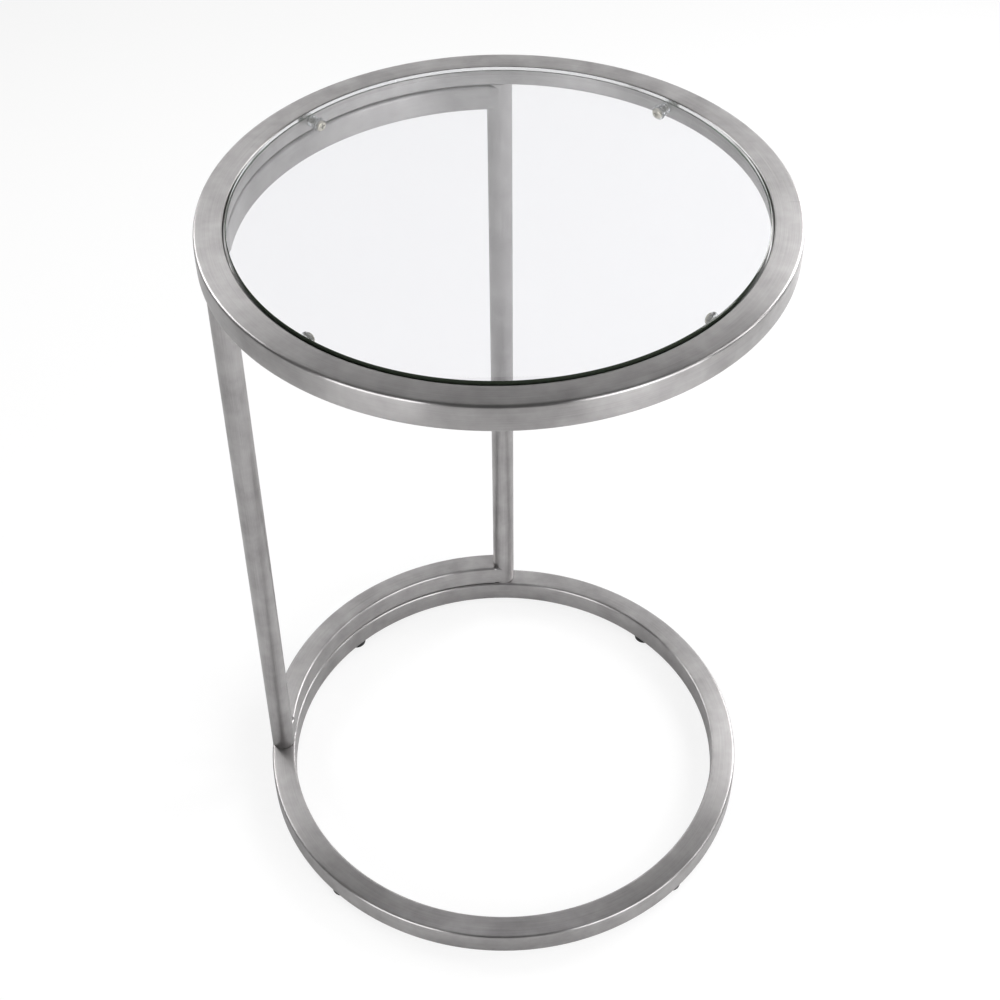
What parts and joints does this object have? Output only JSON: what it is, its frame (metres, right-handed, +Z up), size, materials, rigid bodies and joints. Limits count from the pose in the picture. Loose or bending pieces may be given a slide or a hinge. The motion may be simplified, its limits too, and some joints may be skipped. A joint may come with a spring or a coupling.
{
  "type": "side table",
  "caption": "Round metal side table with a drop-in glass top, a ring base and a C-shaped frame of legs on one quarter of the circle.",
  "frame": {"origin": "on the floor, under the centre of the two rings", "axes": "+Z up, -Y to the picture's front, +X to its right; one leg at -X, one at +Y"},
  "size_m": [0.4, 0.4, 0.5792],
  "materials": {
    "brushed_stainless": "stainless steel, brushed along the tube",
    "ground_weld": "stainless weld, ground flush",
    "clear_glass": "clear float glass with a ground edge",
    "clear_plastic": "clear moulded plastic",
    "black_rubber": "black moulded rubber, satin",
    "bright_steel": "bright machine screw",
    "zinc_plated_steel": "zinc plated"
  },
  "bodies": {
    "frame": {"base_ring": "brushed_stainless", "bumper_rivet_nut_back_left": "zinc_plated_steel", "bumper_rivet_nut_back_right": "zinc_plated_steel", "bumper_rivet_nut_front_left": "zinc_plated_steel", "bumper_rivet_nut_front_right": "zinc_plated_steel", "bumper_screw_back_left": "bright_steel", "bumper_screw_back_right": "bright_steel", "bumper_screw_front_left": "bright_steel", "bumper_screw_front_right": "bright_steel", "foot_back_left": "black_rubber", "foot_back_right": "black_rubber", "foot_front_left": "black_rubber", "foot_front_right": "black_rubber", "foot_screw_back_left": "zinc_plated_steel", "foot_screw_back_right": "zinc_plated_steel", "foot_screw_front_left": "zinc_plated_steel", "foot_screw_front_right": "zinc_plated_steel", "glass_bumper_back_left": "clear_plastic", "glass_bumper_back_right": "clear_plastic", "glass_bumper_front_left": "clear_plastic", "glass_bumper_front_right": "clear_plastic", "left_leg": "brushed_stainless", "lower_arc": "brushed_stainless", "lower_left_frame_bolt": "zinc_plated_steel", "lower_left_frame_nut": "zinc_plated_steel", "lower_left_weld": "ground_weld", "lower_rear_frame_bolt": "zinc_plated_steel", "lower_rear_frame_nut": "zinc_plated_steel", "lower_rear_weld": "ground_weld", "rear_leg": "brushed_stainless", "top_ring": "brushed_stainless", "upper_arc": "brushed_stainless", "upper_left_frame_bolt": "zinc_plated_steel", "upper_left_frame_nut": "zinc_plated_steel", "upper_left_weld": "ground_weld", "upper_rear_frame_bolt": "zinc_plated_steel", "upper_rear_frame_nut": "zinc_plated_steel", "upper_rear_weld": "ground_weld"},
    "glass": {"glass_top": "clear_glass"}
  },
  "joints": [
    {"name": "glass_lift", "type": "slide", "parent": "frame", "child": "glass", "axis": [0, 0, 1], "range_m": [0, 0.05]}
  ]
}
